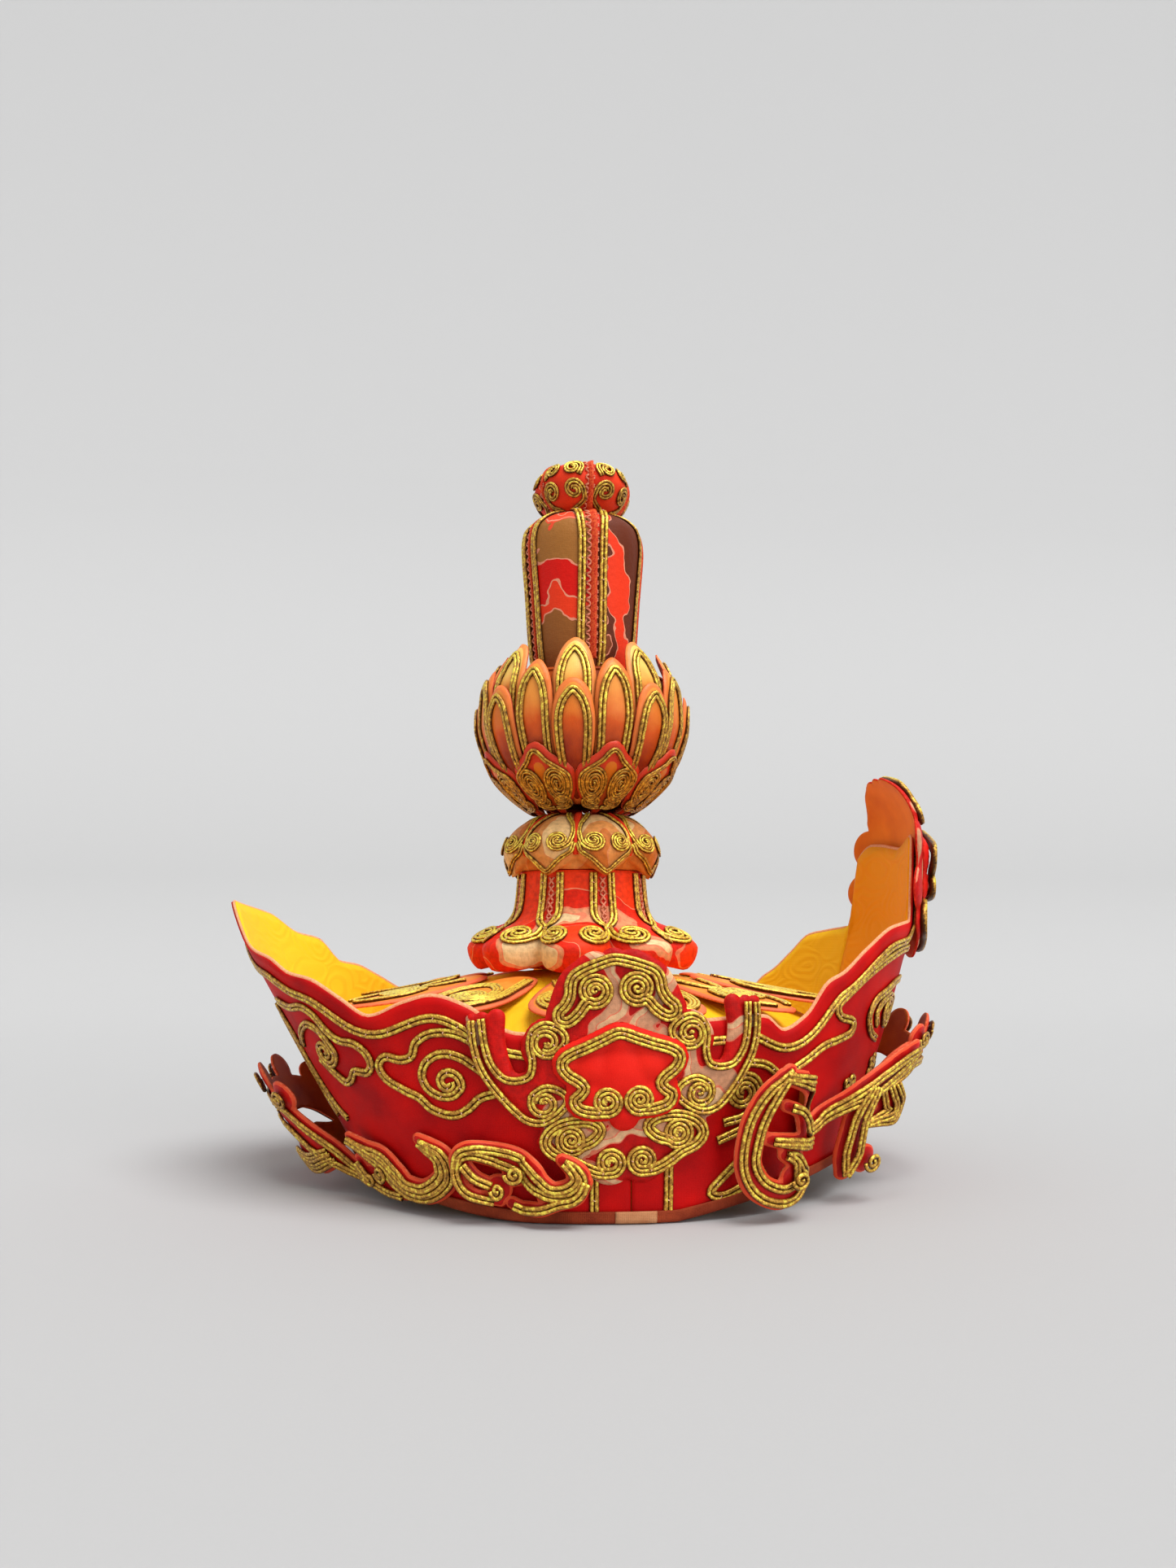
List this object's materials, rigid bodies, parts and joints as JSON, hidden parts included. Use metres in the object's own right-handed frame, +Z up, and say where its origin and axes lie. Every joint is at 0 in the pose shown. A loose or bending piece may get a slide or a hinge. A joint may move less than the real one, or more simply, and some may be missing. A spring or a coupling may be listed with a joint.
{
  "type": "buddhist monk crown",
  "caption": "Ceremonial crown of a Buddhist monk: flared red satin wall with cloud scrolls, brocade dome and a tall padded lotus and vase finial.",
  "frame": {"origin": "middle of the head opening, on the surface that the rim rests on", "axes": "+Z up the finial, +X to the front of the crown (the side with the upright plaque), +Y to the wearer's left"},
  "size_m": [0.2828, 0.1936, 0.2833],
  "materials": {
    "red_satin": "satin weave with couched gold cord",
    "yellow_brocade": "silk brocade",
    "brown_tape": "folded woven tape",
    "red_brocade": "padded silk brocade",
    "orange_satin": "silk satin edged with gold cord",
    "gold_cord": "twisted gold thread",
    "salmon_brocade": "silk brocade"
  },
  "bodies": {
    "root": {"dome": "yellow_brocade", "dome_leaf_01": "orange_satin", "dome_leaf_02": "orange_satin", "dome_leaf_03": "orange_satin", "dome_leaf_04": "orange_satin", "dome_leaf_05": "orange_satin", "dome_leaf_06": "orange_satin", "dome_leaf_07": "orange_satin", "dome_leaf_08": "orange_satin", "dome_leaf_09": "orange_satin", "dome_leaf_10": "orange_satin", "dome_leaf_11": "orange_satin", "dome_leaf_12": "orange_satin", "finial_bell": "red_brocade", "finial_bulb": "red_brocade", "finial_cap": "red_brocade", "finial_vase": "red_brocade", "front_plaque": "salmon_brocade", "lotus_cup": "orange_satin", "medallion_left": "salmon_brocade", "medallion_plaque_left": "red_brocade", "medallion_plaque_right": "red_brocade", "medallion_right": "salmon_brocade", "petal_middle_1": "orange_satin", "petal_middle_2": "orange_satin", "petal_middle_3": "orange_satin", "petal_middle_4": "orange_satin", "petal_middle_5": "orange_satin", "petal_middle_6": "orange_satin", "petal_middle_7": "orange_satin", "petal_middle_8": "orange_satin", "petal_outer_1": "orange_satin", "petal_outer_2": "orange_satin", "petal_outer_3": "orange_satin", "petal_outer_4": "orange_satin", "petal_outer_5": "orange_satin", "petal_outer_6": "orange_satin", "petal_outer_7": "orange_satin", "petal_outer_8": "orange_satin", "rim_binding": "brown_tape", "scroll_back": "gold_cord", "scroll_crest_left": "gold_cord", "scroll_crest_right": "gold_cord", "scroll_front": "gold_cord", "scroll_leaf_left": "gold_cord", "scroll_leaf_right": "gold_cord", "scroll_wave_left": "gold_cord", "scroll_wave_right": "gold_cord", "sepal_1": "orange_satin", "sepal_2": "orange_satin", "sepal_3": "orange_satin", "sepal_4": "orange_satin", "sepal_5": "orange_satin", "sepal_6": "orange_satin", "sepal_7": "orange_satin", "sepal_8": "orange_satin", "wall_back": "red_satin", "wall_front": "red_satin"}
  },
  "joints": []
}
